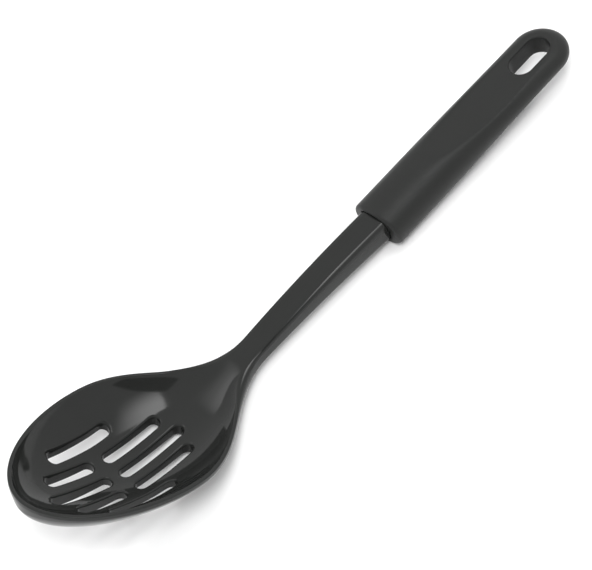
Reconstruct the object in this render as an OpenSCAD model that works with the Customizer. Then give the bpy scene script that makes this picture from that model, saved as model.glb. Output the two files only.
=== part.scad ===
// Slotted kitchen spoon: a nylon head with bowl, neck, stem and tang, pushed into a moulded grip.
// It lies bowl upwards on the table plane z = 0, tip towards -X, handle end towards +X.
// The bowl is drawn in its own frame, whose plane z = 0 is the rim, and is then tilted to rest.
// The stem frame starts where the line of the stem's top meets the rim plane.

/* [Bowl] */
// Width of the bowl across the rim
bowl_w = 74; // [68:1:80]
// Distance from the tip to the widest place of the bowl
bowl_wide_x = 56; // [52:0.5:60]
// Distance from the tip to where the outline has narrowed to the neck
neck_x = 119.7; // [116:0.1:122]
// Depth of the hollow at its deepest place
bowl_depth = 16.7; // [14:0.1:19]
// Distance from the tip to the deepest place
bowl_deep_x = 49.5; // [44:0.5:52]
// Distance from the tip to the neck end of the hollow
hollow_end_x = 110; // [106:1:112]
// Width of the flat top of the rim
rim_w = 1.8; // [1.2:0.1:2.4]
// Height of the upright outer edge of the rim
rim_h = 2; // [1.4:0.1:2.6]
// Thickness of the floor, measured upright
floor_t = 3.7; // [3:0.1:4.5]

/* [Slots] */
// Width of a drain slot
slot_w = 6.1; // [5:0.1:6.6]
// Distance between the centre lines of the three middle slots
slot_pitch = 10.4; // [10:0.1:11]
// Centre of the outer tip slots, from the tip
tip_slot_x = 31.7; // [31:0.1:33]
// Length of the outer tip slots
tip_slot_len = 23.9; // [20:0.1:26]
// Centre of the middle tip slot, from the tip
tip_mid_slot_x = 29.7; // [28:0.1:31]
// Length of the middle tip slot
tip_mid_slot_len = 29.6; // [24:0.1:31]
// Centre of the outer neck slots, from the tip
neck_slot_x = 63.2; // [62:0.1:65]
// Length of the outer neck slots
neck_slot_len = 29.2; // [24:0.1:30]
// Centre of the middle neck slot, from the tip
neck_mid_slot_x = 65.3; // [64:0.1:66]
// Length of the middle neck slot
neck_mid_slot_len = 32.8; // [26:0.1:33]
// Centre of the two side slots, from the tip
side_slot_x = 44; // [41:0.1:45]
// Distance of a side slot from the middle line
side_slot_y = 20.4; // [20:0.1:21.4]
// Length of a side slot
side_slot_len = 32.3; // [28:0.1:33]
// Angle by which a side slot follows the outline
side_slot_turn = 3; // [0:0.1:5]

/* [Stem] */
// Angle between the rim plane and the stem
crank = 26.9; // [25:0.1:28]
// Where the line of the stem's top meets the rim plane, from the tip
bend_x = 92.6; // [92:0.1:95]
// Softness of the bend in the neck
bend_soft = 4.4; // [2:0.1:8]
// Distance from the bend to the mouth of the grip, along the stem
stem_len = 105.8; // [96:0.2:110]
// Rise of the arched stem above a straight line
stem_arch = 1.1; // [0:0.1:2]
// Width of the stem's flat top
stem_top_w = 12.4; // [10:0.2:13]
// Greatest width of the stem at the neck
neck_base_w = 12.2; // [12:0.2:14]
// Greatest width of the stem at the grip
stem_base_w = 15; // [14.4:0.2:16]
// Thickness of the neck
neck_t = 7.6; // [7:0.1:9]
// Thickness of the stem at the grip
stem_t = 12.4; // [11.6:0.1:12.8]
// Rounding along the upper edges of the stem
stem_edge = 1.6; // [1:0.1:1.8]
// Rounding along the upper edge of the rim
rim_edge = 0.5; // [0.3:0.1:0.7]

/* [Tang and socket] */
// How far the stem enters the mouth of the grip
mouth_depth = 8; // [5:0.5:10]
// Open gap round the stem in the mouth
mouth_gap = 0.3; // [0.2:0.05:0.35]
// Rise of the arch over the stem's flat top in the mouth
mouth_rise = 0.6; // [0.3:0.1:0.7]
// Length of the tang behind the stem's shoulder
tang_len = 46; // [36:1:50]
// Width of the tang
tang_w = 13; // [10:0.5:14]
// Height of the tang
tang_h = 6; // [5:0.5:7]
// Corner radius of the tang
tang_r = 1.5; // [1:0.1:2]
// Clearance between the tang and its socket, on each side
tang_clear = 0.15; // [0.1:0.01:0.3]

/* [Grip] */
// Length of the grip
grip_len = 123.2; // [118:0.2:130]
// Width of the grip
grip_w = 26.8; // [26:0.1:28]
// Height of the stem's top above the middle line of the grip
stem_above_axis = 6.8; // [6.4:0.1:6.9]
// Height of the grip's crown above its middle line at the mouth
crown_h = 8.9; // [8.8:0.1:9.4]
// Height of the crown above the middle line at the end
crown_end_h = 5.9; // [5.6:0.1:7]
// Depth of the grip below its middle line at the mouth
belly_h = 9.1; // [8.8:0.1:10]
// Depth of the grip below its middle line at the end
belly_end_h = 5.9; // [5:0.1:6]
// Distance from the mouth to where the grip begins to taper
taper_x = 31.6; // [24:0.2:38]
// Length over which the belly rises from the mouth's depth to that of the end
belly_run = 66; // [50:1:80]
// Height of the thumb scoop's edge above the middle line
scoop_h = 5.3; // [5:0.1:5.6]
// Depth of the thumb scoop below its edge
scoop_depth = 0.7; // [0.4:0.1:1.2]
// Distance from the mouth to the front of the thumb scoop
scoop_x = 35.4; // [30:0.2:40]
// Length over which the edge of the thumb scoop runs down from the crown
scoop_run = 70; // [60:1:76]
// Height of the rounding of the lip at the mouth
lip_r = 1; // [0.8:0.1:1.1]
// Length of the hang slot from end to end
hang_len = 22; // [18:0.2:25]
// Width of the hang slot
hang_w = 11.4; // [9:0.1:12]
// Distance from the end of the grip to the middle of the hang slot
hang_x = 19.2; // [18:0.1:22]

/* [Rest] */
// Tilt of the rim plane when the spoon lies on a table
rest_tilt = 24.3; // [24:0.1:24.6]

/* [Hidden] */

// Named shares and powers of the curves
outline_front_power = 1.92;
outline_rear_power = 2.3;
outline_end_power = 2.3;
depth_front_power = 2.25;
depth_rear_power = 1.6;
hollow_rear_power = 1.25;
bowl_wide_power = 2.25;
bowl_deep_power = 1.17;
stem_power = 2.8;
grip_power = 2.2;
stem_side_share = 0.6;
flank_share = 0.35;
scoop_lead_share = 0.33;
scoop_wide_share = 0.74;
lip_round_share = 2;
last_turn = 87;

// Softness of the edge between the crown and the thumb scoop
scoop_soft = 0.5;

// Facet counts and the overrun of every cut
ring_n = 26;
edge_n = 3;
flank_n = 3;
front_n = 15;
rear_n = 22;
stem_n = 9;
grip_ring_n = 44;
round_n = 32;
over = 1;

// Distance from the tip to the first section, which closes the tip
first_x = 0.15;

// Derived sizes
neck_half = neck_base_w / 2;
outer_depth = bowl_depth + floor_t - rim_h;
stem_end_s = stem_len + mouth_depth;
stem_start_s = (neck_x - bend_x) / cos(crank);
grip_r = grip_w / 2;

function smooth(t) = let (c = max(0, min(1, t))) c * c * (3 - 2 * c);
function mix(a, b, t) = a + (b - a) * t;
function bulge(t, p) = pow(max(0, 1 - pow(max(0, min(1, t)), p)), 1 / p);
function fall(t, p, q) = pow(max(0, 1 - pow(max(0, min(1, t)), p)), q);

// Half of the outline's width at a distance x from the tip
function half_w(x) = x < bowl_wide_x
    ? bowl_w / 2 * bulge(1 - x / bowl_wide_x, outline_front_power)
    : mix(neck_half, bowl_w / 2,
          fall((x - bowl_wide_x) / (neck_x - bowl_wide_x),
               outline_rear_power, outline_end_power));

// Height of the rim, which bends softly into the line of the stem
function rim_z(x) = let (d = x - bend_x)
    tan(crank) * (d + sqrt(d * d + bend_soft * bend_soft)) / 2;

// Depth of the outer skin below the upright edge of the rim
function skin_depth(x) = x < bowl_deep_x
    ? outer_depth * bulge(1 - x / bowl_deep_x, depth_front_power)
    : mix(neck_t - rim_h, outer_depth,
          fall((x - bowl_deep_x) / (neck_x - bowl_deep_x), depth_rear_power, 2));

// Inner skin: the outline and the depth of the hollow, one rim width inside
function hollow_half_w(x) = x < bowl_wide_x
    ? (bowl_w / 2 - rim_w)
      * bulge((bowl_wide_x - x) / (bowl_wide_x - rim_w), outline_front_power)
    : half_w(x) - rim_w;
function hollow_depth(x) = x < bowl_deep_x
    ? bowl_depth * bulge((bowl_deep_x - x) / (bowl_deep_x - rim_w), depth_front_power)
    : bowl_depth * fall((x - bowl_deep_x) / (hollow_end_x - bowl_deep_x),
                        depth_rear_power, hollow_rear_power);

// Point at the share t of a curve from a to b that a corner c draws out
function drawn(a, c, b, t) = a * (1 - t) * (1 - t) + c * 2 * t * (1 - t) + b * t * t;

// One cross-section as [y, depth] pairs below the top line, once round:
// rounded upper edge, bowed flank, skin, and the same again up the other side
function section(top_half, base_half, edge, side, depth, p, q) = let (
    corner = [top_half, 0],
    bow = [base_half, side * flank_share],
    below = corner + (bow - corner) * edge / norm(bow - corner),
    flank = concat(
        [for (i = [0 : edge_n]) drawn(corner - [edge, 0], corner, below, i / edge_n)],
        [for (i = [1 : flank_n - 1]) drawn(below, bow, [base_half, side], i / flank_n)]),
    last = len(flank) - 1)
    concat(flank,
           [for (i = [0 : ring_n]) let (u = cos(180 * i / ring_n), t = abs(u))
               [base_half * u, side + depth * pow(max(0, 1 - pow(t, p)), 1 / q)]],
           [for (i = [0 : last]) [-flank[last - i][0], flank[last - i][1]]]);

// Places a section on the top line at x and z, turned by the angle turn
function placed(points, x, z, turn) =
    [for (p = points) [x + p[1] * sin(turn), p[0], z - p[1] * cos(turn)]];

// Sections of the bowl and the neck, whose planes fan out from upright to square with the stem
function bowl_ring(x) = let (
    s = smooth((x - bend_x) / (neck_x - bend_x)),
    half = half_w(x),
    top_half = mix(half, stem_top_w / 2, s),
    side = mix(rim_h, neck_t * stem_side_share, s),
    depth = mix(skin_depth(x), neck_t * (1 - stem_side_share), s))
    placed(section(max(top_half, rim_edge * 2), max(half, rim_edge * 2),
                   mix(rim_edge, stem_edge, s), side, depth,
                   mix(bowl_wide_power, stem_power, s), mix(bowl_deep_power, stem_power, s)),
           x, rim_z(x), crank * smooth((x - bowl_deep_x) / (neck_x - bowl_deep_x)));

// Section of the stem at the share t of its length, from the neck to the grip
function stem_section(t, grow) =
    let (thick = mix(neck_t, stem_t, t))
    section(stem_top_w / 2 + grow, mix(neck_base_w, stem_base_w, t) / 2 + grow,
            stem_edge + grow, thick * stem_side_share,
            thick * (1 - stem_side_share) + 2 * grow,
            stem_power, stem_power);

// Stem ring at a distance s from the bend, along the stem
function stem_ring(s) = let (
    t = (s - stem_start_s) / (stem_len - stem_start_s),
    lift = stem_arch * 4 * max(0, t) * max(0, 1 - t)
           + (rim_z(neck_x) - tan(crank) * (neck_x - bend_x)) * (1 - smooth(t)))
    placed(stem_section(min(1, t), 0),
           bend_x + s * cos(crank) - lift * sin(crank),
           s * sin(crank) + lift * cos(crank), crank);

// Closed solid through a list of rings with equal point counts
module loft(rings) {
    n = len(rings[0]);
    m = len(rings);
    points = [for (ring = rings) for (p = ring) p];
    sides = [for (i = [0 : m - 2]) for (j = [0 : n - 1]) let (k = (j + 1) % n)
        for (f = [[i * n + j, i * n + k, (i + 1) * n + j],
                  [i * n + k, (i + 1) * n + k, (i + 1) * n + j]]) f];
    first = [[for (j = [n - 1 : -1 : 0]) j]];
    last = [[for (j = [0 : n - 1]) (m - 1) * n + j]];
    polyhedron(points, concat(sides, first, last));
}

// Stations along the bowl: close together at the tip, even towards the neck
bowl_stations = concat(
    [for (i = [0 : front_n]) mix(first_x, bowl_wide_x, 1 - cos(90 * i / front_n))],
    [for (i = [1 : rear_n]) mix(bowl_wide_x, neck_x, i / rear_n)]);
stem_stations = [for (i = [1 : stem_n]) mix(stem_start_s, stem_end_s, i / stem_n)];
head_rings = concat([for (x = bowl_stations) bowl_ring(x)],
                    [for (s = stem_stations) stem_ring(s)]);

// The hollow as rings that reach above the rim
function hollow_ring(x) = let (w = hollow_half_w(x), d = hollow_depth(x), z = rim_z(x))
    concat([[x, w, z + over], [x, w, z]],
           [for (i = [1 : ring_n - 1]) let (u = cos(180 * i / ring_n))
               [x, w * u, z - d * pow(1 - pow(abs(u), bowl_wide_power), 1 / bowl_deep_power)]],
           [[x, -w, z], [x, -w, z + over]]);
hollow_stations = concat(
    [for (i = [0 : front_n]) mix(rim_w + first_x, bowl_wide_x, 1 - cos(90 * i / front_n))],
    [for (i = [1 : rear_n]) mix(bowl_wide_x, hollow_end_x - first_x, i / rear_n)]);

// Rest position: the lowest point of the tilted head touches the table, and the box is centred
function tilted(p) = [p.x * cos(rest_tilt) + p.z * sin(rest_tilt), p.y,
                      p.z * cos(rest_tilt) - p.x * sin(rest_tilt)];
tilted_points = [for (ring = head_rings) for (p = ring) tilted(p)];
heel_z = min([for (p = tilted_points) p.z]);
tip_x = min([for (p = tilted_points) p.x]);
mouth = tilted([bend_x + stem_len * cos(crank) + stem_above_axis * sin(crank), 0,
                stem_len * sin(crank) - stem_above_axis * cos(crank)]);
grip_pitch = crank - rest_tilt;
end_x = mouth.x + grip_len * cos(grip_pitch);
shift_x = -(tip_x + end_x) / 2;

module at_bowl() translate([shift_x, 0, -heel_z]) rotate([0, rest_tilt, 0]) children();
module at_mouth() translate([mouth.x + shift_x, 0, mouth.z - heel_z])
    rotate([0, -grip_pitch, 0]) children();

// Round-ended cutter, upright in the bowl frame
module slot_cut(x, y, length, turn) {
    reach = (length - slot_w) / 2;
    low = -outer_depth - rim_h - floor_t;
    translate([x, y, low]) rotate([0, 0, turn]) hull()
        for (side = [-1, 1]) translate([side * reach, 0, 0])
            cylinder(d = slot_w, h = over - low, $fn = round_n);
}

module drain_slots() {
    for (side = [-1, 1]) {
        slot_cut(tip_slot_x, side * slot_pitch, tip_slot_len, 0);
        slot_cut(neck_slot_x, side * slot_pitch, neck_slot_len, 0);
        slot_cut(side_slot_x, side * side_slot_y, side_slot_len, side * side_slot_turn);
    }
    slot_cut(tip_mid_slot_x, 0, tip_mid_slot_len, 0);
    slot_cut(neck_mid_slot_x, 0, neck_mid_slot_len, 0);
}

// Flat bar with round corners along +X, grown all round for the socket
module bar(length, grow) {
    width = tang_w + 2 * grow;
    height = tang_h + 2 * grow;
    r = tang_r + grow;
    rotate([90, 0, 90]) linear_extrude(length) hull()
        for (a = [-1, 1]) for (b = [-1, 1])
            translate([a * (width / 2 - r), b * (height / 2 - r)]) circle(r, $fn = round_n);
}

module spoon_head() color("#3b3c3b") {
    at_bowl() difference() {
        loft(head_rings);
        loft([for (x = hollow_stations) hollow_ring(x)]);
        drain_slots();
    }
    at_mouth() translate([mouth_depth - over, 0, 0]) bar(tang_len + over, 0);
}

// Grip: heights of the crown and the belly at a distance x from the mouth
function crown(x) = mix(crown_h, crown_end_h, smooth((x - taper_x) / (grip_len - taper_x)));
function belly(x) = mix(belly_h, belly_end_h, smooth((x - taper_x) / belly_run));

// Height of the thumb scoop, hollow across, at the share t of the half-width
function scoop(x, t) = mix(crown_h + over, scoop_h, smooth((x - scoop_x) / scoop_run + scoop_lead_share))
    - scoop_depth * smooth((x - scoop_x) / scoop_run + scoop_lead_share)
      * (1 - pow(t / scoop_wide_share, 2));
function soft_min(a, b, r) = (a + b - sqrt((a - b) * (a - b) + r * r)) / 2;

// Share of the half-width at which a point lies, round the end as along the sides
function grip_ring(x, inset) = let (
    past = max(0, x - (grip_len - grip_r)),
    w = sqrt(max(0, grip_r * grip_r - past * past)) - inset * lip_round_share)
    [for (i = [0 : grip_ring_n - 1]) let (
        a = -360 * i / grip_ring_n,
        u = cos(a),
        y = w * sign(u) * pow(abs(u), 2 / grip_power),
        t = past > 0 ? sqrt(past * past + y * y) / grip_r : abs(y) / w,
        body = bulge(t, grip_power),
        up = soft_min(crown(x) * body, min(scoop(x, t), crown(x) + over), scoop_soft * body))
        [x, y, sin(a) > 0 ? up - inset * body : -(belly(x) - inset) * body]];

arch_n = 8;
lip_n = 4;
side_n = 24;
end_n = 12;
grip_rings = concat(
    [for (i = [0 : lip_n]) let (a = 90 * i / lip_n)
        grip_ring(lip_r * lip_round_share * (1 - cos(a)), lip_r * (1 - sin(a)))],
    [for (i = [1 : side_n])
        grip_ring(mix(lip_r * lip_round_share, grip_len - grip_r, i / side_n), 0)],
    [for (i = [1 : end_n]) grip_ring(grip_len - grip_r + grip_r * sin(last_turn * i / end_n), 0)]);

// Opening for the stem at the mouth, one gap wider than the stem and arched over its flat top
module mouth_opening() {
    half = stem_top_w / 2 - stem_edge;
    arch = [for (i = [1 : arch_n - 1]) let (u = cos(180 * i / arch_n))
        [-half * u, mouth_gap + mouth_rise * pow(1 - u * u, 2)]];
    translate([-over, 0, stem_above_axis])
        rotate([90, 0, 90]) linear_extrude(mouth_depth + over)
            polygon(concat([for (p = stem_section(1, mouth_gap)) [p[0], mouth_gap - p[1]]], arch));
}

module hang_slot() {
    reach = (hang_len - hang_w) / 2;
    tall = 2 * (belly_h + crown_h);
    translate([grip_len - hang_x, 0, -tall / 2]) {
        for (side = [-1, 1]) translate([side * reach, 0, 0])
            cylinder(d = hang_w, h = tall, $fn = round_n);
        translate([-reach, -hang_w / 2, 0]) cube([2 * reach, hang_w, tall]);
    }
}

module grip() color("#444644") difference() {
    at_mouth() difference() {
        loft(grip_rings);
        mouth_opening();
        translate([mouth_depth - over, 0, 0]) bar(tang_len + over + tang_clear, tang_clear);
        hang_slot();
    }
    // Flat land under the grip, level with the table
    translate([mouth.x + shift_x - grip_w, -grip_w, -grip_w]) cube([grip_len, 2 * grip_w, grip_w]);
}

spoon_head();
grip();
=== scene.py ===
import math

import bmesh
import bpy
from mathutils import Matrix, Vector


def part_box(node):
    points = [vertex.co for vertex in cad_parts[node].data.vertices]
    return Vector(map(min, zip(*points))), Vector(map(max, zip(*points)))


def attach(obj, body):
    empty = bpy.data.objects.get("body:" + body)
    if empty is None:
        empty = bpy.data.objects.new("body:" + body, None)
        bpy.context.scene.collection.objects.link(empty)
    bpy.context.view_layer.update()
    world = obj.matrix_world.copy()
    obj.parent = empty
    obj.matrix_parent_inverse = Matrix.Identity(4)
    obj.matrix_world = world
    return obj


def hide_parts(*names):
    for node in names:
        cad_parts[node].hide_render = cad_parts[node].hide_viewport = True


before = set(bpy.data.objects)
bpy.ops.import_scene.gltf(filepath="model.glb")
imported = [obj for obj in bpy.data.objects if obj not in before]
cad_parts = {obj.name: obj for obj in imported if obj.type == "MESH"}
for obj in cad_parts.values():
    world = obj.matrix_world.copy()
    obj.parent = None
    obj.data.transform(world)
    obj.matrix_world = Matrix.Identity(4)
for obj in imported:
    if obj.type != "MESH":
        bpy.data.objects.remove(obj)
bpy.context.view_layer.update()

# Sizes of the spoon in millimetres, as in the part's source.
# The bowl frame has the rim at z = 0, the tip at x = 0 and the stem towards +x.
BOWL_W = 74
WIDE_X = 56
NECK_X = 119.7
BOWL_DEPTH = 16.7
DEEP_X = 49.5
HOLLOW_END_X = 110
RIM_W = 1.8
RIM_H = 2
FLOOR_T = 3.7
SLOT_W = 6.1
SLOT_PITCH = 10.4
SIDE_SLOT_Y = 20.4
SIDE_SLOT_TURN = math.radians(3)
CRANK = math.radians(26.9)
BEND_X = 92.6
BEND_SOFT = 4.4
STEM_LEN = 105.8
STEM_ARCH = 1.1
STEM_TOP_W = 12.4
NECK_BASE_W = 12.2
STEM_BASE_W = 15
NECK_T = 7.6
STEM_T = 12.4
STEM_EDGE = 1.6
RIM_EDGE = 0.5
MOUTH_DEPTH = 8
MOUTH_GAP = 0.3
MOUTH_RISE = 0.6
TANG_LEN = 46
TANG_W = 13
TANG_H = 6
GRIP_LEN = 123.2
GRIP_W = 26.8
STEM_ABOVE_AXIS = 6.8
CROWN_H = 8.9
CROWN_END_H = 5.9
BELLY_H = 9.1
BELLY_END_H = 5.9
TAPER_X = 31.6
BELLY_RUN = 66
SCOOP_H = 5.3
SCOOP_DEPTH = 0.7
SCOOP_X = 35.4
SCOOP_RUN = 70
LIP_R = 1
HANG_LEN = 22
HANG_W = 11.4
HANG_X = 19.2
REST_TILT = math.radians(24.3)

# Powers and shares of the curves, as in the part's source
FRONT_POWER = 1.92
REAR_POWER = 2.3
REAR_END_POWER = 2.3
DEPTH_FRONT_POWER = 2.25
DEPTH_REAR_POWER = 1.6
HOLLOW_REAR_POWER = 1.25
WIDE_POWER = 2.25
DEEP_POWER = 1.17
STEM_POWER = 2.8
GRIP_POWER = 2.2
SIDE_SHARE = 0.6
FLANK_SHARE = 0.35
SCOOP_LEAD_SHARE = 0.33
SCOOP_WIDE_SHARE = 0.74
LIP_ROUND_SHARE = 2
SCOOP_SOFT = 0.5

# Made here alone, or gentler than in the source: the roll along the stem's top, the hollow's wall at the
# tip, how much narrower the drain slots get below their upper edges, and the soft edges of all slots
STEM_ROLL = 2.2
HOLLOW_FRONT_POWER = 1.65
SLOT_DRAFT = 0.8
DRAIN_ROUND_TOP = 0.95
DRAIN_ROUND_LOW = 0.4
HANG_ROUND_TOP = 0.7
HANG_ROUND_LOW = 0.5

# Heights between which the cutters reach right through the bowl and the grip
DRAIN_REACH = (-32, 4)
HANG_REACH = (-20, 20)

# The turn from the hollow up to the rim: its width, and the depth at which it starts, which near the neck
# is at most a share of the hollow's; on the stem's flat top, the share of the half-width at which it starts
RIM_TURN = 0.45
RIM_TURN_DEPTH_SHARE = 0.3
STEM_TURN_SHARE = 0.883

# Where that turn ends on the rim: a share of the rim's width at the tip end, and a distance behind it
RIM_FLAT_SHARE = 0.22
RIM_FLAT = 0.35
STEM_FLAT = 0.1

# How far out in a section the outer skin starts to round into the flank
SKIN_END_SHARE = 0.99

# Power of the tang's rounded outline
TANG_POWER = 7

# Radius of the inner edge of the grip's mouth, and the shares of the wall that it and the lip may take up
MOUTH_EDGE = 0.35
MOUTH_EDGE_SHARE = 0.2
LIP_SHARE = 0.75

# Depths in the mouth at which its wall has a ring of points
MOUTH_RINGS = (MOUTH_DEPTH, 6, 4, 2.5, 1.6, 1.1)

# Sections along the bowl's front, the bowl's rear, the stem, the grip's body and its round end
FRONT_STEPS = 64
REAR_STEPS = 64
STEM_STEPS = 40
BODY_STEPS = 110
END_STEPS = 40

# Points along the hollow and the skin in half a section of the head, and in half a section of the grip
INNER_STEPS = 44
SKIN_STEPS = 36
GRIP_STEPS = 96

# Points along the top, the edge, the flank and the foot of half the mouth, and round its two edges
MOUTH_TOP_STEPS = 12
MOUTH_ROLL_STEPS = 8
MOUTH_FLANK_STEPS = 20
MOUTH_FOOT_STEPS = 30
MOUTH_EDGE_STEPS = 4
LIP_STEPS = 8

# Points of a mesh nearer than this are the same one: in a grid, before the slots are cut, and after
SAME_POINT_GRID = 0.00001
SAME_POINT = 0.002
SAME_POINT_CUT = 0.004

# A millimetre in metres
MM = 0.001

# How far behind the tip the outer skin starts, and the sizes that follow from those above
FIRST_X = 0.15
OUTER_DEPTH = BOWL_DEPTH + FLOOR_T - RIM_H
STEM_START = (NECK_X - BEND_X) / math.cos(CRANK)
GRIP_R = GRIP_W / 2
LIP_RUN = LIP_R * LIP_ROUND_SHARE


def unit(t):
    return max(0.0, min(1.0, t))


def smooth(t):
    """A soft step from nought to one."""
    c = unit(t)
    return c * c * (3 - 2 * c)


def mix(a, b, t):
    return a + (b - a) * t


def bulge(t, p):
    """A superellipse's height at the share t of its half-width."""
    return max(0.0, 1 - unit(t) ** p) ** (1 / p)


def fall(t, p, q):
    """A curve that leaves one level and reaches nought at t = 1."""
    return max(0.0, 1 - unit(t) ** p) ** q


def half_w(x):
    """Half of the outline's width at a distance x from the tip."""
    if x < WIDE_X:
        return BOWL_W / 2 * bulge(1 - x / WIDE_X, FRONT_POWER)
    share = fall((x - WIDE_X) / (NECK_X - WIDE_X), REAR_POWER, REAR_END_POWER)
    return mix(NECK_BASE_W / 2, BOWL_W / 2, share)


def rim_z(x):
    """Height of the rim, which bends softly into the line of the stem."""
    d = x - BEND_X
    return math.tan(CRANK) * (d + math.sqrt(d * d + BEND_SOFT * BEND_SOFT)) / 2


def skin_depth(x):
    """Depth of the outer skin's middle line under the foot of the rim."""
    if x < DEEP_X:
        return OUTER_DEPTH * bulge(1 - x / DEEP_X, DEPTH_FRONT_POWER)
    share = fall((x - DEEP_X) / (NECK_X - DEEP_X), DEPTH_REAR_POWER, 2)
    return mix(NECK_T - RIM_H, OUTER_DEPTH, share)


def hollow_half_w(x):
    """Half of the hollow's width inside the rim."""
    if x < WIDE_X:
        return (BOWL_W / 2 - RIM_W) * bulge((WIDE_X - x) / (WIDE_X - RIM_W), FRONT_POWER)
    return half_w(x) - RIM_W


def hollow_depth(x):
    """Depth of the hollow's middle line under the rim."""
    if x < DEEP_X:
        return BOWL_DEPTH * bulge((DEEP_X - x) / (DEEP_X - RIM_W), HOLLOW_FRONT_POWER)
    share = (x - DEEP_X) / (HOLLOW_END_X - DEEP_X)
    return BOWL_DEPTH * fall(share, DEPTH_REAR_POWER, HOLLOW_REAR_POWER)


def neck_share(x):
    """How far the bowl's section has turned into the stem's."""
    return smooth((x - BEND_X) / (NECK_X - BEND_X))


def section_drop(x, u):
    """Depth of the outer skin under the top line at the share u of the half-width."""
    s = neck_share(x)
    side = mix(RIM_H, NECK_T * SIDE_SHARE, s)
    depth = mix(skin_depth(x), NECK_T * (1 - SIDE_SHARE), s)
    p = mix(WIDE_POWER, STEM_POWER, s)
    q = mix(DEEP_POWER, STEM_POWER, s)
    return side + depth * max(0.0, 1 - unit(abs(u)) ** p) ** (1 / q)


def hollow_drop(x, u):
    """Depth of the hollow under the rim at the share u of the half-width."""
    return hollow_depth(x) * max(0.0, 1 - unit(abs(u)) ** WIDE_POWER) ** (1 / DEEP_POWER)


def seat_outer(x, y, drop):
    """A point of the outer skin: its section leans from upright to square with the stem."""
    turn = CRANK * smooth((x - DEEP_X) / (NECK_X - DEEP_X))
    x_seat = x + drop * math.sin(turn)
    if x < WIDE_X:
        x_seat += FIRST_X * (1 - x / WIDE_X)
    return Vector((x_seat, y, rim_z(x) - drop * math.cos(turn)))


def seat_inner(x, y, drop):
    """A point of the hollow or of the rim, straight under the top line."""
    return Vector((x, y, rim_z(x) - drop))


def rounded(a, corner, b, steps):
    """Points round a corner, without the first."""
    found = []
    for k in range(1, steps + 1):
        t = k / steps
        found.append(a * (1 - t) ** 2 + corner * 2 * t * (1 - t) + b * t * t)
    return found


def share_at_drop(drop_at, wanted):
    """The share of the way out from the middle at which the hollow is only as deep as wanted."""
    low = 0.3
    high = 1.0
    for _ in range(30):
        middle = (low + high) / 2
        if drop_at(middle) > wanted:
            low = middle
        else:
            high = middle
    return low


def flank_curve(top_half, base_half, edge, side):
    """The bowed flank from under the rounded upper edge, as a function of the share of the way down it."""
    corner = Vector((top_half, 0))
    bow = Vector((base_half, side * FLANK_SHARE))
    below = corner + (bow - corner) * edge / (bow - corner).length

    def point(t):
        return below * (1 - t) ** 2 + bow * 2 * t * (1 - t) + Vector((base_half, side)) * t * t
    return point


def half_profile(inner, inner_edge, top_edge, flank, skin):
    """Half of a section as points: floor, inner wall, rim, flank, skin, bottom middle."""
    found = [inner(inner_edge * (1 - (1 - k / INNER_STEPS) ** 1.5)) for k in range(INNER_STEPS + 1)]
    corner = inner(1)
    top_in, top_out, top_corner = top_edge
    found += rounded(found[-1], corner, top_in, 4)
    found += [(top_in + top_out) / 2, top_out]
    found += rounded(top_out, top_corner, flank(0), 6)
    found += [flank(0.8 * k / 5) for k in range(1, 6)]
    found += rounded(found[-1], flank(1), skin(SKIN_END_SHARE), 3)
    turns = [math.pi / 2 * k / SKIN_STEPS for k in range(1, SKIN_STEPS + 1)]
    found += [skin(SKIN_END_SHARE * math.cos(a)) for a in turns]
    return found


def front_profile(angle):
    """Section of the bowl along a ray from its widest place towards the tip end of the rim."""
    c = max(0.0, math.cos(angle)) ** (2 / FRONT_POWER)
    s = max(0.0, math.sin(angle)) ** (2 / FRONT_POWER)
    out_x = WIDE_X * (1 - c)
    out_y = BOWL_W / 2 * s
    in_x = WIDE_X - (WIDE_X - RIM_W) * c
    in_y = (BOWL_W / 2 - RIM_W) * s

    def inner_drop(t):
        x = mix(WIDE_X, in_x, t)
        return hollow_drop(x, in_y * t / max(hollow_half_w(x), 0.001))

    def inner(t):
        return seat_inner(mix(WIDE_X, in_x, t), in_y * t, inner_drop(t))

    def skin(t):
        x = mix(WIDE_X, out_x, t)
        y = out_y * t
        return seat_outer(x, y, section_drop(x, y / max(half_w(x), 0.001)))

    def rim(share):
        return seat_outer(mix(in_x, out_x, share), mix(in_y, out_y, share), 0)

    def flank(t):
        return seat_outer(out_x, out_y, mix(RIM_EDGE, RIM_H, t))

    top = (rim(RIM_FLAT_SHARE), rim(1 - RIM_EDGE / RIM_W), rim(1))
    return half_profile(inner, share_at_drop(inner_drop, RIM_TURN), top, flank, skin)


def rear_profile(x):
    """Upright section of the bowl and neck at a distance x from the tip."""
    s = neck_share(x)
    half = half_w(x)
    top_half = mix(half, STEM_TOP_W / 2, s)
    low = mix(RIM_H, NECK_T * SIDE_SHARE, s)
    edge = mix(RIM_EDGE, STEM_EDGE, s)
    roll = mix(RIM_EDGE, STEM_ROLL, s)
    in_half = min(half - RIM_W, top_half - roll - RIM_TURN)
    line = flank_curve(top_half, half, edge, low)

    def inner_drop(t):
        return hollow_drop(x, t)

    def inner(t):
        return seat_inner(x, in_half * t, inner_drop(t))

    def skin(t):
        return seat_outer(x, half * t, section_drop(x, t))

    def flank(t):
        return seat_outer(x, *line(t))

    flat = seat_inner(x, in_half + RIM_FLAT, 0)
    top = (flat, seat_inner(x, top_half - roll, 0), seat_inner(x, top_half, 0))
    turn = share_at_drop(inner_drop, min(RIM_TURN, RIM_TURN_DEPTH_SHARE * hollow_depth(x)))
    return half_profile(inner, min(turn, 0.995), top, flank, skin)


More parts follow.
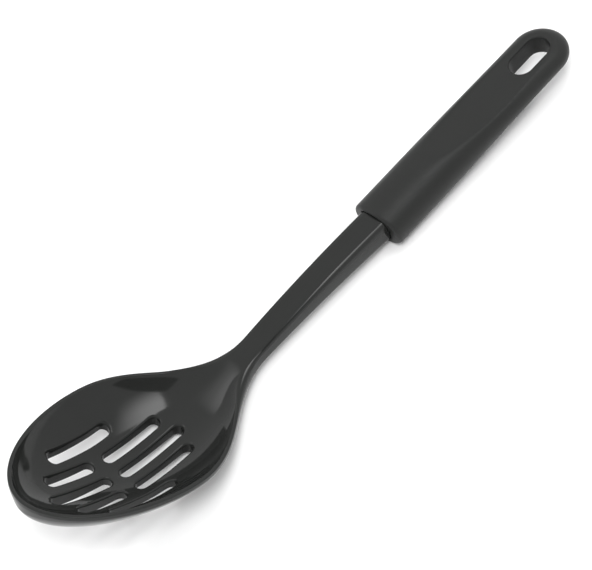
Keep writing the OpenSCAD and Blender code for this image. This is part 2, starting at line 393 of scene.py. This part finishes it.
def stem_profile(s):
    """Section of the stem, square to it, at a distance s from the bend."""
    t = (s - STEM_START) / (STEM_LEN - STEM_START)
    grown = min(1.0, t)
    bend = rim_z(NECK_X) - math.tan(CRANK) * (NECK_X - BEND_X)
    lift = STEM_ARCH * 4 * max(0.0, t) * max(0.0, 1 - t) + bend * (1 - smooth(t))
    x = BEND_X + s * math.cos(CRANK) - lift * math.sin(CRANK)
    z = s * math.sin(CRANK) + lift * math.cos(CRANK)
    half = mix(NECK_BASE_W, STEM_BASE_W, grown) / 2
    thick = mix(NECK_T, STEM_T, grown)
    low = thick * SIDE_SHARE
    top_half = STEM_TOP_W / 2
    line = flank_curve(top_half, half, STEM_EDGE, low)

    def seat(y, drop):
        return Vector((x + drop * math.sin(CRANK), y, z - drop * math.cos(CRANK)))

    def inner(t):
        return seat((top_half - STEM_ROLL - RIM_TURN) * t, 0)

    def skin(t):
        return seat(half * t, low + thick * (1 - SIDE_SHARE) * bulge(t, STEM_POWER))

    def flank(t):
        return seat(*line(t))

    top = (seat(top_half - STEM_ROLL - STEM_FLAT, 0), seat(top_half - STEM_ROLL, 0), seat(top_half, 0))
    return half_profile(inner, STEM_TURN_SHARE, top, flank, skin)


def tang_profile(s, shoulder, keep):
    """The shoulder's points drawn in to the tang's outline; keep 0 closes its end."""
    middle = Vector((BEND_X + s * math.cos(CRANK) + STEM_ABOVE_AXIS * math.sin(CRANK), 0,
                     s * math.sin(CRANK) - STEM_ABOVE_AXIS * math.cos(CRANK)))
    up = Vector((-math.sin(CRANK), 0, math.cos(CRANK)))
    found = []
    for k in range(len(shoulder)):
        a = math.pi / 2 - math.pi * k / (len(shoulder) - 1)
        y = TANG_W / 2 * max(0.0, math.cos(a)) ** (2 / TANG_POWER)
        h = TANG_H / 2 * math.copysign(abs(math.sin(a)) ** (2 / TANG_POWER), a)
        found.append(middle + (Vector((0, y, 0)) + up * h) * keep)
    return found


def draped(columns):
    """A grid laid over the columns, each a list of points."""
    bm = bmesh.new()
    across = len(columns) - 1
    along = len(columns[0]) - 1
    bmesh.ops.create_grid(bm, x_segments=across, y_segments=along, size=1)
    for v in bm.verts:
        i = round((v.co.x + 1) / 2 * across)
        j = round((v.co.y + 1) / 2 * along)
        v.co = columns[i][j]
    bmesh.ops.remove_doubles(bm, verts=bm.verts, dist=SAME_POINT_GRID)
    return bm


def doubled(bm):
    """Completes a half shape across the middle plane and turns its faces outward."""
    half = bm.verts[:] + bm.edges[:] + bm.faces[:]
    bmesh.ops.mirror(bm, geom=half, matrix=Matrix(), merge_dist=SAME_POINT, axis="Y")
    bmesh.ops.remove_doubles(bm, verts=bm.verts, dist=SAME_POINT)
    bmesh.ops.dissolve_degenerate(bm, edges=bm.edges, dist=0.0005)
    bmesh.ops.recalc_face_normals(bm, faces=bm.faces)


def as_object(bm, name):
    """Puts the shape into the scene as an object of its own."""
    mesh = bpy.data.meshes.new(name)
    bm.to_mesh(mesh)
    bm.free()
    piece = bpy.data.objects.new(name, mesh)
    bpy.context.scene.collection.objects.link(piece)
    return piece


def stadium(share, length, width, grown):
    """A point on a round-ended outline, by its share of the way round."""
    reach = (length - width) / 2
    r = width / 2 + grown
    straight = 2 * reach
    arc = math.pi * r
    run = (share % 1) * 2 * (straight + arc)
    side = 1
    if run > straight + arc:
        run -= straight + arc
        side = -1
    if run < straight:
        return side * (run - reach), side * -r
    a = (run - straight) / r - math.pi / 2
    return side * (reach + r * math.cos(a)), side * r * math.sin(a)


# Degrees round a soft edge at which a cutter has a row of points, how wide it flares past the face as a
# share of the edge's radius, how far from the face it does, and its points round the slot
FILLET = (0, 25, 50, 68, 80)
FLARE = 1.1
FLARE_OUT = 0.05
CUTTER_STEPS = 80


def slot_cutter(length, width, seat, heights, round_top, round_low, reach):
    """A cutter whose edges flare where they pass the faces, so that the slot is left with soft edges.

    Each row has how much it is grown, its height, and the face that the height counts from: 1 for the
    upper one, -1 for the lower one and None for neither.
    """
    rows = [(round_low * FLARE, reach[0], None), (round_low * FLARE, FLARE_OUT, -1)]
    for a in reversed(FILLET):
        turn = math.radians(a)
        rows.append((round_low * (1 - math.cos(turn)), -round_low * (1 - math.sin(turn)), -1))
    for a in FILLET:
        turn = math.radians(a)
        rows.append((round_top * (1 - math.cos(turn)), -round_top * (1 - math.sin(turn)), 1))
    rows += [(round_top * FLARE, FLARE_OUT, 1), (round_top * FLARE, reach[1], None)]
    columns = []
    for i in range(CUTTER_STEPS + 1):
        column = []
        for grown, lift, face in rows:
            x, y = seat(*stadium(i / CUTTER_STEPS, length, width, grown))
            if face is None:
                z = lift
            else:
                low, high = heights(x, y)
                z = high + lift if face > 0 else low - lift
            column.append(Vector((x, y, z)))
        columns.append(column)
    bm = draped(columns)
    bmesh.ops.holes_fill(bm, edges=[e for e in bm.edges if e.is_boundary], sides=0)
    bmesh.ops.recalc_face_normals(bm, faces=bm.faces)
    return bm


def cut(piece, cutters):
    """Cuts every cutter out of the piece and keeps the result as its mesh."""
    tools = []
    for bm in cutters:
        tool = as_object(bm, "cutter")
        tools.append(tool)
        step = piece.modifiers.new("slot", "BOOLEAN")
        step.operation = "DIFFERENCE"
        step.solver = "EXACT"
        step.object = tool
    bpy.context.view_layer.update()
    done = piece.evaluated_get(bpy.context.evaluated_depsgraph_get())
    mesh = bpy.data.meshes.new_from_object(done)
    bm = bmesh.new()
    bm.from_mesh(mesh)
    bmesh.ops.remove_doubles(bm, verts=bm.verts, dist=SAME_POINT_CUT)
    bmesh.ops.dissolve_degenerate(bm, edges=bm.edges, dist=SAME_POINT)
    bm.to_mesh(mesh)
    bm.free()
    piece.modifiers.clear()
    old = piece.data
    piece.data = mesh
    mesh.name = piece.name
    bpy.data.meshes.remove(old)
    for tool in tools:
        mesh = tool.data
        bpy.data.objects.remove(tool)
        bpy.data.meshes.remove(mesh)
    bpy.context.view_layer.update()


def softened(piece):
    """Smooth shading whose normals follow the large faces, so that the small cut ones don't smear."""
    for face in piece.data.polygons:
        face.use_smooth = True
    step = piece.modifiers.new("even_normals", "WEIGHTED_NORMAL")
    step.mode = "FACE_AREA"
    step.weight = 50


def bowl_faces(x, y):
    """Heights of the outer skin and of the hollow's floor under a point of the rim plane."""
    seat = x
    for _ in range(20):
        drop = section_drop(seat, y / half_w(seat))
        turn = CRANK * smooth((seat - DEEP_X) / (NECK_X - DEEP_X))
        seat = x - drop * math.sin(turn)
    low = rim_z(seat) - drop * math.cos(turn)
    high = rim_z(x) - hollow_drop(x, y / hollow_half_w(x))
    return low, high


# Centre from the tip, distance from the middle line, length and turn of each drain slot
DRAIN_SLOTS = (
    (31.7, SLOT_PITCH, 23.9, 0),
    (31.7, -SLOT_PITCH, 23.9, 0),
    (29.7, 0, 29.6, 0),
    (63.2, SLOT_PITCH, 29.2, 0),
    (63.2, -SLOT_PITCH, 29.2, 0),
    (65.3, 0, 32.8, 0),
    (44, SIDE_SLOT_Y, 32.3, SIDE_SLOT_TURN),
    (44, -SIDE_SLOT_Y, 32.3, -SIDE_SLOT_TURN),
)


def drain_slot(x, y, length, turn):
    """The cutter of one drain slot, turned about its own middle."""
    c = math.cos(turn)
    s = math.sin(turn)

    def seat(dx, dy):
        return x + dx * c - dy * s, y + dx * s + dy * c
    return slot_cutter(length - SLOT_DRAFT, SLOT_W - SLOT_DRAFT, seat, bowl_faces,
                       DRAIN_ROUND_TOP, DRAIN_ROUND_LOW, DRAIN_REACH)


def rest_matrix(low_x, low_z):
    """Lays the rim plane back by the tilt at which the spoon rests, and moves it into the frame."""
    return Matrix.Translation((low_x, 0, low_z)) @ Matrix.Rotation(REST_TILT, 4, "Y")


def make_head():
    """The nylon head: bowl, neck, stem, shoulder and tang in one draped skin, then the drain slots."""
    columns = [front_profile(math.pi / 2 * k / FRONT_STEPS) for k in range(FRONT_STEPS)]
    columns += [rear_profile(mix(WIDE_X, NECK_X, k / REAR_STEPS)) for k in range(REAR_STEPS + 1)]
    end = STEM_LEN + MOUTH_DEPTH
    columns += [stem_profile(mix(STEM_START, end, k / STEM_STEPS)) for k in range(1, STEM_STEPS + 1)]
    shoulder = columns[-1]
    columns.append(tang_profile(end, shoulder, 1))
    columns.append(tang_profile(end + TANG_LEN, shoulder, 1))
    columns.append(tang_profile(end + TANG_LEN, shoulder, 0))
    bm = draped(columns)
    doubled(bm)
    piece = as_object(bm, "nylon_head")
    cut(piece, [drain_slot(*slot) for slot in DRAIN_SLOTS])
    low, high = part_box("spoon_head")
    turned = [Matrix.Rotation(REST_TILT, 4, "Y") @ v.co for v in piece.data.vertices]
    shift = (low.x / MM - min(p.x for p in turned), low.z / MM - min(p.z for p in turned))
    piece.data.transform(Matrix.Scale(MM, 4) @ rest_matrix(*shift))
    softened(piece)
    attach(piece, "root")
    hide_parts("spoon_head")
    return piece, shift


def crown(x):
    """Height of the grip's back over its middle line."""
    return mix(CROWN_H, CROWN_END_H, smooth((x - TAPER_X) / (GRIP_LEN - TAPER_X)))


def belly(x):
    """Depth of the grip's belly under its middle line."""
    return mix(BELLY_H, BELLY_END_H, smooth((x - TAPER_X) / BELLY_RUN))


def scoop(x, t):
    """Height of the thumb scoop, hollow across, at the share t of the half-width."""
    run = smooth((x - SCOOP_X) / SCOOP_RUN + SCOOP_LEAD_SHARE)
    return mix(CROWN_H + 1, SCOOP_H, run) - SCOOP_DEPTH * run * (1 - (t / SCOOP_WIDE_SHARE) ** 2)


def soft_min(a, b, r):
    """The smaller of two heights, with a rounded change from one to the other."""
    return (a + b - math.sqrt((a - b) * (a - b) + r * r)) / 2


def grip_up(x, t):
    body = bulge(t, GRIP_POWER)
    return soft_min(crown(x) * body, min(scoop(x, t), crown(x) + 1), SCOOP_SOFT * body)


def grip_down(x, t):
    return -belly(x) * bulge(t, GRIP_POWER)


def grip_angle(k):
    return math.pi / 2 - math.pi * k / GRIP_STEPS


def grip_column(place):
    """Half of a section of the grip, from the crown round the side to the belly.

    place gives x and y for a distance out from the middle plane.
    """
    found = []
    for k in range(GRIP_STEPS + 1):
        a = grip_angle(k)
        t = max(0.0, math.cos(a)) ** (2 / GRIP_POWER)
        x, y = place(t * GRIP_R)
        z = grip_up(x, t) if a >= 0 else grip_down(x, t)
        found.append(Vector((x, max(0.0, y), z)))
    return found


def mouth_outline():
    """Half of the opening for the stem, arched over its flat top, from top middle to bottom middle."""
    top_half = STEM_TOP_W / 2 + MOUTH_GAP
    half = STEM_BASE_W / 2 + MOUTH_GAP
    edge = STEM_EDGE + MOUTH_GAP
    low = STEM_T * SIDE_SHARE
    depth = STEM_T * (1 - SIDE_SHARE) + 2 * MOUTH_GAP
    top = STEM_ABOVE_AXIS + MOUTH_GAP
    flat = top_half - edge
    line = flank_curve(top_half, half, edge, low)
    outline = []
    for k in range(MOUTH_TOP_STEPS + 1):
        u = k / MOUTH_TOP_STEPS
        outline.append(Vector((0, flat * u, top + MOUTH_RISE * (1 - u * u) ** 2)))
    below = Vector((0, line(0).x, top - line(0).y))
    outline += rounded(outline[-1], Vector((0, top_half, top)), below, MOUTH_ROLL_STEPS)
    for k in range(1, MOUTH_FLANK_STEPS + 1):
        y, drop = line(k / MOUTH_FLANK_STEPS)
        outline.append(Vector((0, y, top - drop)))
    for k in range(1, MOUTH_FOOT_STEPS + 1):
        u = math.cos(math.pi / 2 * k / MOUTH_FOOT_STEPS)
        outline.append(Vector((0, half * u, top - low - depth * bulge(u, STEM_POWER))))
    return outline


def resampled(outline, guide):
    """One point of the outline for each guide point, where the ray from the middle through it crosses."""
    found = []
    for g in guide:
        a = math.atan2(g.z, g.y)
        best = None
        for p, q in zip(outline, outline[1:]):
            a_p = math.atan2(p.z, max(p.y, 0.0))
            a_q = math.atan2(q.z, max(q.y, 0.0))
            if a_q <= a + 1e-9 <= a_p + 2e-9:
                share = (a_p - a) / max(a_p - a_q, 1e-9)
                best = p + (q - p) * unit(share)
                break
        found.append(best or (outline[0] if a > 0 else outline[-1]).copy())
    return found


def lip_columns():
    """Sections from the floor of the mouth, out along its wall, round the lip and on to the body."""
    body = grip_column(lambda out: (LIP_RUN, out))
    opening = resampled(mouth_outline(), body)
    columns = []
    for x in MOUTH_RINGS:
        columns.append([Vector((x, p.y, p.z)) for p in opening])
    walls = []
    for p, q in zip(opening, body):
        wall = Vector((0, q.y - p.y, q.z - p.z))
        thick = max(wall.length, 0.05)
        out = wall / thick
        inner_r = min(MOUTH_EDGE, thick * MOUTH_EDGE_SHARE)
        outer_r = min(LIP_R * mix(1, LIP_ROUND_SHARE, abs(out.y)), thick * LIP_SHARE)
        walls.append((Vector((0, p.y, p.z)), out, thick, inner_r, outer_r))
    for k in range(MOUTH_EDGE_STEPS + 1):
        a = math.pi / 2 * k / MOUTH_EDGE_STEPS
        columns.append([p + out * r * (1 - math.cos(a)) + Vector((r * (1 - math.sin(a)), 0, 0))
                        for p, out, thick, r, outer_r in walls])
    for k in range(LIP_STEPS + 1):
        a = math.pi / 2 * k / LIP_STEPS
        along = Vector((LIP_RUN * (1 - math.cos(a)), 0, 0))
        columns.append([p + out * (thick - r * (1 - math.sin(a))) + along
                        for p, out, thick, inner_r, r in walls])
    return columns


def hang_faces(x, y):
    """Heights of the belly and of the crown under a point of the grip's middle plane."""
    past = max(0.0, x - (GRIP_LEN - GRIP_R))
    t = math.hypot(past, y) / GRIP_R
    return grip_down(x, t), grip_up(x, t)


def make_grip(shift):
    """The moulded grip: mouth, lip, body with its thumb scoop, round end and hang slot."""
    columns = lip_columns()
    last = GRIP_LEN - GRIP_R
    floor = [Vector((MOUTH_DEPTH, 0, p.z)) for p in columns[0]]
    columns.insert(0, floor)
    for k in range(1, BODY_STEPS + 1):
        x = mix(LIP_RUN, last, k / BODY_STEPS)
        columns.append(grip_column(lambda out, x=x: (x, out)))
    for k in range(1, END_STEPS + 1):
        a = math.pi / 2 * k / END_STEPS
        c = math.cos(a)
        s = math.sin(a)
        columns.append(grip_column(lambda out, c=c, s=s: (last + out * s, out * c)))
    bm = draped(columns)
    doubled(bm)
    piece = as_object(bm, "moulded_grip")
    middle = GRIP_LEN - HANG_X
    hang_slot = slot_cutter(HANG_LEN, HANG_W, lambda dx, dy: (middle + dx, dy), hang_faces,
                            HANG_ROUND_TOP, HANG_ROUND_LOW, HANG_REACH)
    cut(piece, [hang_slot])
    mouth = Vector((BEND_X + STEM_LEN * math.cos(CRANK) + STEM_ABOVE_AXIS * math.sin(CRANK), 0,
                    STEM_LEN * math.sin(CRANK) - STEM_ABOVE_AXIS * math.cos(CRANK)))
    seat = rest_matrix(*shift) @ Matrix.Translation(mouth) @ Matrix.Rotation(-CRANK, 4, "Y")
    piece.data.transform(Matrix.Scale(MM, 4) @ seat)
    # The foot of the mouth is flat where the spoon rests on it
    for v in piece.data.vertices:
        v.co.z = max(v.co.z, 0)
    softened(piece)
    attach(piece, "root")
    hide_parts("grip")
    return piece


def linear(code):
    """An sRGB hex colour as linear red, green, blue and alpha."""
    found = []
    for k in (1, 3, 5):
        c = int(code[k:k + 2], 16) / 255
        found.append(c / 12.92 if c <= 0.04045 else ((c + 0.055) / 1.055) ** 2.4)
    return (*found, 1)


def node(tree, kind, settings=None, **links):
    """Adds a node with its settings, and links or sets its inputs by name."""
    made = tree.nodes.new(kind)
    for key, value in (settings or {}).items():
        setattr(made, key, value)
    for key, value in links.items():
        socket = made.inputs[key.replace("_", " ")]
        if isinstance(value, bpy.types.NodeSocket):
            tree.links.new(value, socket)
        else:
            socket.default_value = value
    return made


def new_material(name):
    """An empty material and its node tree."""
    material = bpy.data.materials.new(name)
    material.use_nodes = True
    material.node_tree.nodes.clear()
    return material, material.node_tree


# The part of the noise's values over which the clouds change
CLOUD_SPAN = (0.3, 0.7)


def clouded(tree, place, size, detail, dark, pale, smoothest, roughest):
    """The faint clouds of a moulded skin: the sockets of its colour and roughness, which drift together."""
    cloud = node(tree, "ShaderNodeTexNoise", Vector=place, Scale=1 / size, Detail=detail, Roughness=0.6)
    tint = node(tree, "ShaderNodeValToRGB", Fac=cloud.outputs["Fac"])
    for element, position, colour in zip(tint.color_ramp.elements, CLOUD_SPAN, (dark, pale)):
        element.position = position
        element.color = linear(colour)
    rough = node(tree, "ShaderNodeMapRange", Value=cloud.outputs["Fac"])
    rough.inputs["From Min"].default_value = CLOUD_SPAN[0]
    rough.inputs["From Max"].default_value = CLOUD_SPAN[1]
    rough.inputs["To Min"].default_value = smoothest
    rough.inputs["To Max"].default_value = roughest
    return tint.outputs["Color"], rough.outputs["Result"]


def moulded_nylon():
    """Charcoal nylon from a polished mould: a wet-looking gloss with the faint swell of a moulded skin."""
    material, tree = new_material("moulded_nylon_polished")
    place = node(tree, "ShaderNodeTexCoord").outputs["Object"]
    # The swell of the skin is about 14 mm from crest to crest, the fine grain about 0.6 mm
    swell = node(tree, "ShaderNodeTexNoise", Vector=place, Scale=1 / 0.014, Detail=1.0, Roughness=0.4)
    grain = node(tree, "ShaderNodeTexNoise", Vector=place, Scale=1 / 0.0006, Detail=2.0, Roughness=0.6)
    tint, rough = clouded(tree, place, 0.03, 3.0, "#1e1f1e", "#202120", 0.06, 0.09)
    low = node(tree, "ShaderNodeBump", Height=swell.outputs["Fac"], Strength=0.25, Distance=0.0002)
    fine = node(tree, "ShaderNodeBump", Height=grain.outputs["Fac"], Normal=low.outputs["Normal"],
                Strength=0.12, Distance=0.00002)
    body = node(tree, "ShaderNodeBsdfPrincipled", Base_Color=tint, Roughness=rough,
                Normal=fine.outputs["Normal"], IOR=1.35)
    node(tree, "ShaderNodeOutputMaterial", Surface=body.outputs["BSDF"])
    return material


def moulded_polypropylene():
    """Charcoal polypropylene from a spark-eroded mould: a dry, even matte with a fine grain."""
    material, tree = new_material("moulded_polypropylene_matte")
    place = node(tree, "ShaderNodeTexCoord").outputs["Object"]
    # The grain is about 0.5 mm, drawn a little coarser than the real one so that it shows
    grain = node(tree, "ShaderNodeTexNoise", Vector=place, Scale=1 / 0.0005, Detail=2.0, Roughness=0.6)
    tint, rough = clouded(tree, place, 0.018, 4.0, "#1b1c1b", "#1d1e1d", 0.4, 0.46)
    fine = node(tree, "ShaderNodeBump", Height=grain.outputs["Fac"], Strength=0.35, Distance=0.00008)
    body = node(tree, "ShaderNodeBsdfPrincipled", Base_Color=tint, Roughness=rough,
                Normal=fine.outputs["Normal"], IOR=1.36)
    node(tree, "ShaderNodeOutputMaterial", Surface=body.outputs["BSDF"])
    return material


def pale_floor():
    """The white sheet that the spoon lies on."""
    bm = bmesh.new()
    bmesh.ops.create_grid(bm, x_segments=1, y_segments=1, size=6)
    floor = as_object(bm, "floor")
    material, tree = new_material("white_paper_matte")
    body = node(tree, "ShaderNodeBsdfDiffuse", Color=linear("#f8f8f8"))
    node(tree, "ShaderNodeOutputMaterial", Surface=body.outputs["BSDF"])
    floor.data.materials.append(material)
    return floor


def softbox(name, place, aim, size, power):
    """A square studio light at place, facing aim; its side in metres, power in watts."""
    data = bpy.data.lights.new(name, "AREA")
    data.shape = "SQUARE"
    data.size = size
    data.energy = power
    light = bpy.data.objects.new(name, data)
    bpy.context.scene.collection.objects.link(light)
    light.location = place
    light.rotation_mode = "QUATERNION"
    light.rotation_quaternion = (Vector(aim) - Vector(place)).to_track_quat("-Z", "Y")
    return light


# Azimuth, elevation and roll in degrees, look-at point and distance in metres, focal length in pixels
CAMERA_TURN = (-26.815, 51.709, -23.418)
CAMERA_AIM = (-0.00866, 0.006955, 0.010)
CAMERA_AWAY = 0.7117
CAMERA_FOCAL = 1689.2

# Widths of the photo in pixels and of the camera's sensor in millimetres
PHOTO_WIDTH = 592
SENSOR = 36


def make_camera():
    """The photo's view of the spoon, from above and from its near side."""
    azimuth, elevation, roll = (math.radians(a) for a in CAMERA_TURN)
    back = Vector((math.sin(azimuth) * math.cos(elevation), -math.cos(azimuth) * math.cos(elevation),
                   math.sin(elevation)))
    right = Vector((math.cos(azimuth), math.sin(azimuth), 0))
    up = back.cross(right)
    across = right * math.cos(roll) + up * math.sin(roll)
    upward = up * math.cos(roll) - right * math.sin(roll)
    data = bpy.data.cameras.new("photo_camera")
    data.sensor_fit = "HORIZONTAL"
    data.sensor_width = SENSOR
    data.lens = SENSOR * CAMERA_FOCAL / PHOTO_WIDTH
    data.clip_start = 0.01
    data.clip_end = 100
    camera = bpy.data.objects.new("photo_camera", data)
    bpy.context.scene.collection.objects.link(camera)
    turn = Matrix((across, upward, back)).transposed().to_4x4()
    camera.matrix_world = Matrix.Translation(Vector(CAMERA_AIM) + back * CAMERA_AWAY) @ turn
    bpy.context.scene.camera = camera


# How bright the room around the panels is
WORLD_LIGHT = 1.0

# Glowing panels: name, middle in metres, direction of the length on plan, width, length, glow at the
# brightest place, and the places across and along, from the middle, where the fade starts and ends
PANELS = (
    ("ceiling_light", (0.939, -0.488, 2.0), (0.349, 0.937), 1.46, 1.34, 7.6, (-0.75, 0.25), (0.36, -0.56)),
    ("far_window", (-0.37, 1.55, 2.0), (0, 1), 1.2, 1.8, 3.1, (-0.35, 0.6), (0.5, -0.9)),
)

# Dark cards: name, middle in metres, direction on plan, width, length or height, colour, upright or flat
CARDS = (
    ("camera_arm", (-0.02, -0.65, 1.0), (-0.255, 0.967), 0.40, 1.0, "#757575", False),
    ("far_wall", (1.7, 2.0, 0.23), (1, 0), 3.2, 0.46, "#606060", True),
)

# The key light: place and side in metres, power in watts
KEY_PLACE = (-0.2, -0.36, 0.91)
KEY_SIZE = 0.32
KEY_POWER = 4.6


def sheet(name, centre, along, wide, tall):
    """A flat sheet over the table, facing down, its long side along the given direction on plan."""
    bm = bmesh.new()
    bmesh.ops.create_grid(bm, x_segments=1, y_segments=1, size=0.5)
    bmesh.ops.scale(bm, vec=(wide, tall, 1), verts=bm.verts)
    made = as_object(bm, name)
    made.location = centre
    made.rotation_euler = (0, 0, math.atan2(along[1], along[0]) - math.pi / 2)
    return made


def faded(tree, place, start, end):
    """A share that falls softly from one to nought between two places along a sheet, in metres."""
    share = node(tree, "ShaderNodeMapRange", {"interpolation_type": "SMOOTHSTEP"}, Value=place)
    share.inputs["From Min"].default_value = end
    share.inputs["From Max"].default_value = start
    return share.outputs["Result"]


def light_panel(name, centre, along, wide, tall, bright, across_fade, along_fade):
    """A glowing sheet over the table whose light falls off over its width and length to that of the room."""
    panel = sheet(name, centre, along, wide, tall)
    material, tree = new_material(name + "_glow")
    place = node(tree, "ShaderNodeSeparateXYZ", Vector=node(tree, "ShaderNodeTexCoord").outputs["Object"])
    across = faded(tree, place.outputs["X"], *across_fade)
    down = faded(tree, place.outputs["Y"], *along_fade)
    both = node(tree, "ShaderNodeMath", {"operation": "MULTIPLY"})
    tree.links.new(across, both.inputs[0])
    tree.links.new(down, both.inputs[1])
    glow = node(tree, "ShaderNodeMapRange", Value=both.outputs["Value"])
    glow.inputs["To Min"].default_value = WORLD_LIGHT
    glow.inputs["To Max"].default_value = bright
    lamp = node(tree, "ShaderNodeEmission", Color=(1, 1, 1, 1), Strength=glow.outputs["Result"])
    node(tree, "ShaderNodeOutputMaterial", Surface=lamp.outputs["Emission"])
    panel.data.materials.append(material)


def dark_card(name, centre, along, wide, tall, colour, upright):
    """A dull dark card by the table, only seen mirrored in the gloss and left out of the picture itself."""
    card = sheet(name, centre, along, wide, tall)
    if upright:
        card.rotation_euler = (math.pi / 2, 0, math.atan2(along[1], along[0]))
    material, tree = new_material(name + "_paint")
    body = node(tree, "ShaderNodeBsdfDiffuse", Color=linear(colour))
    node(tree, "ShaderNodeOutputMaterial", Surface=body.outputs["BSDF"])
    card.data.materials.append(material)
    card.visible_camera = False


def make_light():
    """Even white surroundings with a bright ceiling panel, a far window and one small soft key light.

    The key only gives the narrow shadows on the near side, so the gloss doesn't mirror it.
    """
    world = bpy.data.worlds.new("white_tent")
    world.use_nodes = True
    world.node_tree.nodes["Background"].inputs["Color"].default_value = (1, 1, 1, 1)
    world.node_tree.nodes["Background"].inputs["Strength"].default_value = WORLD_LIGHT
    bpy.context.scene.world = world
    bpy.context.scene.view_settings.view_transform = "Standard"
    for panel in PANELS:
        light_panel(*panel)
    for card in CARDS:
        dark_card(*card)
    key = softbox("key", KEY_PLACE, (0, 0, 0), KEY_SIZE, KEY_POWER)
    key.visible_glossy = False


head, shift = make_head()
grip = make_grip(shift)
head.data.materials.clear()
head.data.materials.append(moulded_nylon())
grip.data.materials.clear()
grip.data.materials.append(moulded_polypropylene())
pale_floor()
make_camera()
make_light()
